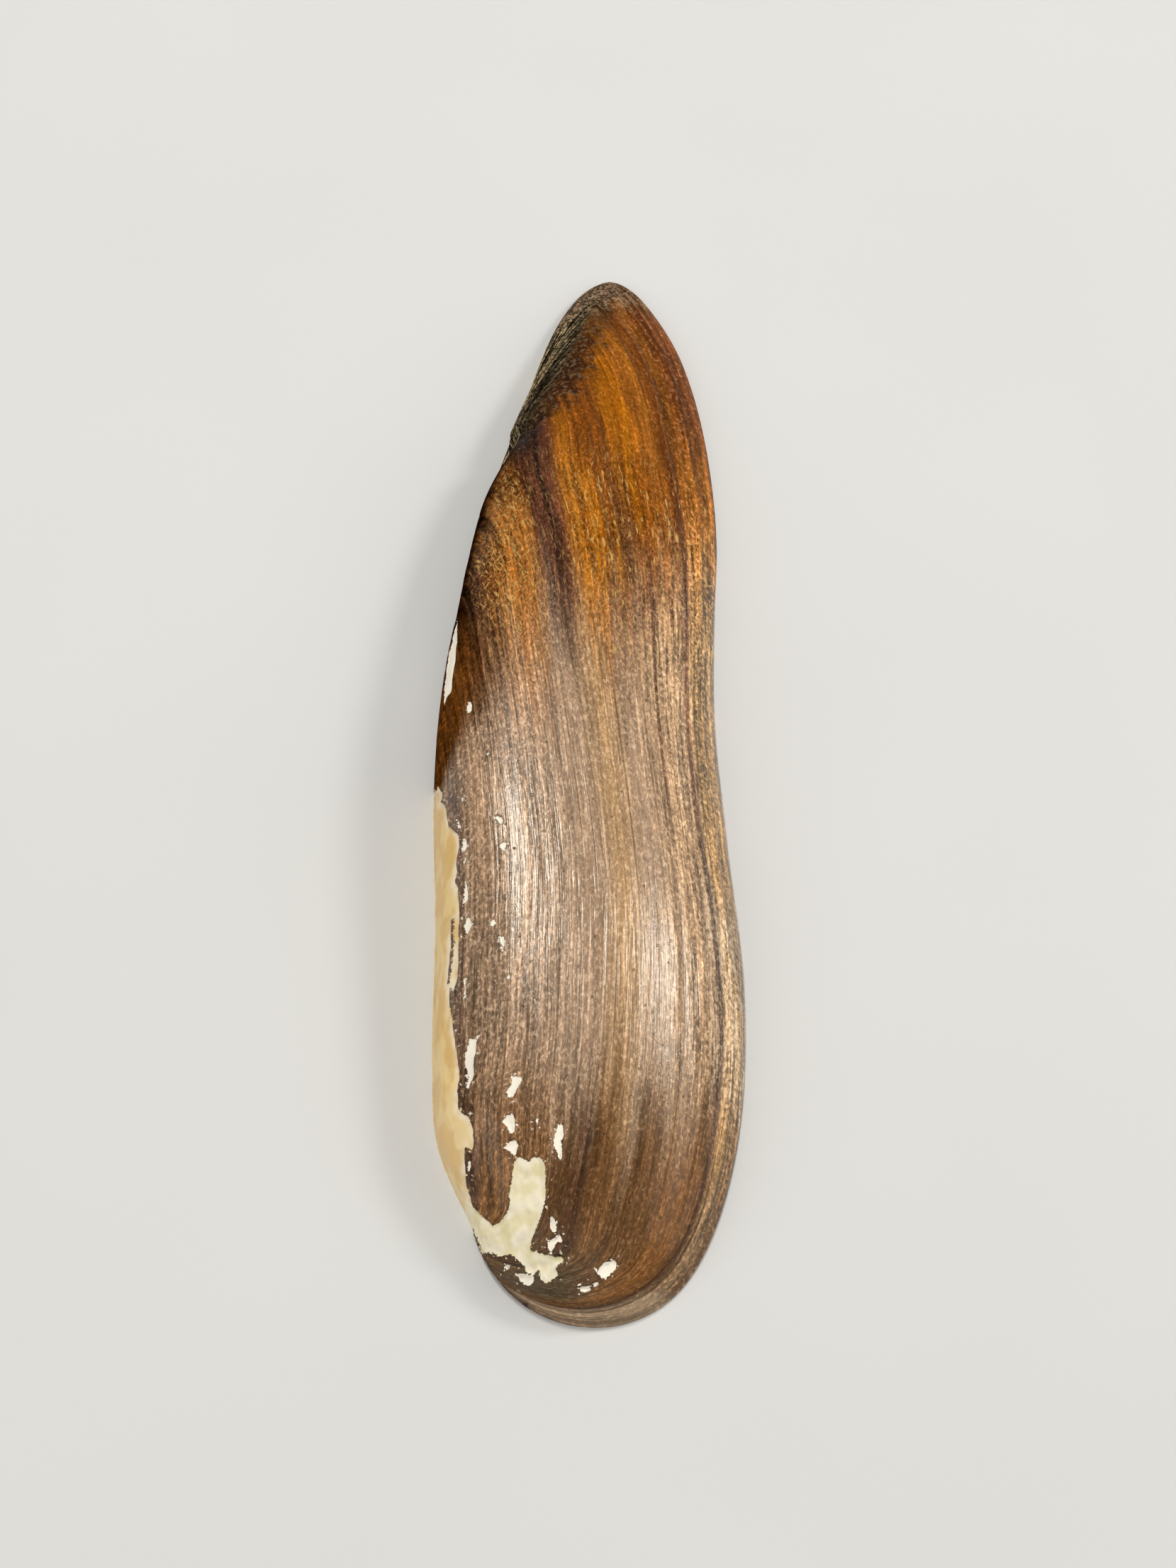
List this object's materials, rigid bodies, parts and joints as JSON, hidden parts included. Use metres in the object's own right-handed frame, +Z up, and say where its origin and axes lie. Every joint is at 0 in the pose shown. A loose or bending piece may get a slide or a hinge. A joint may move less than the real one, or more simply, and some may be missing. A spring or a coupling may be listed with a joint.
{
  "type": "freshwater mussel shell",
  "caption": "Single left valve of a long, narrow freshwater mussel, arched outside and hollow beneath, resting convex side up on its flat margin.",
  "frame": {"origin": "bottom centre of the valve's bounding box, on the surface that its margin rests on", "axes": "+Y along the valve to the pointed hind end, +X to the belly margin (the hinge is on the -X side), +Z up from the margin to the arched back"},
  "size_m": [0.027, 0.108, 0.0097],
  "materials": {
    "shell": "satin"
  },
  "bodies": {
    "root": {"left_valve": "shell"}
  },
  "joints": []
}
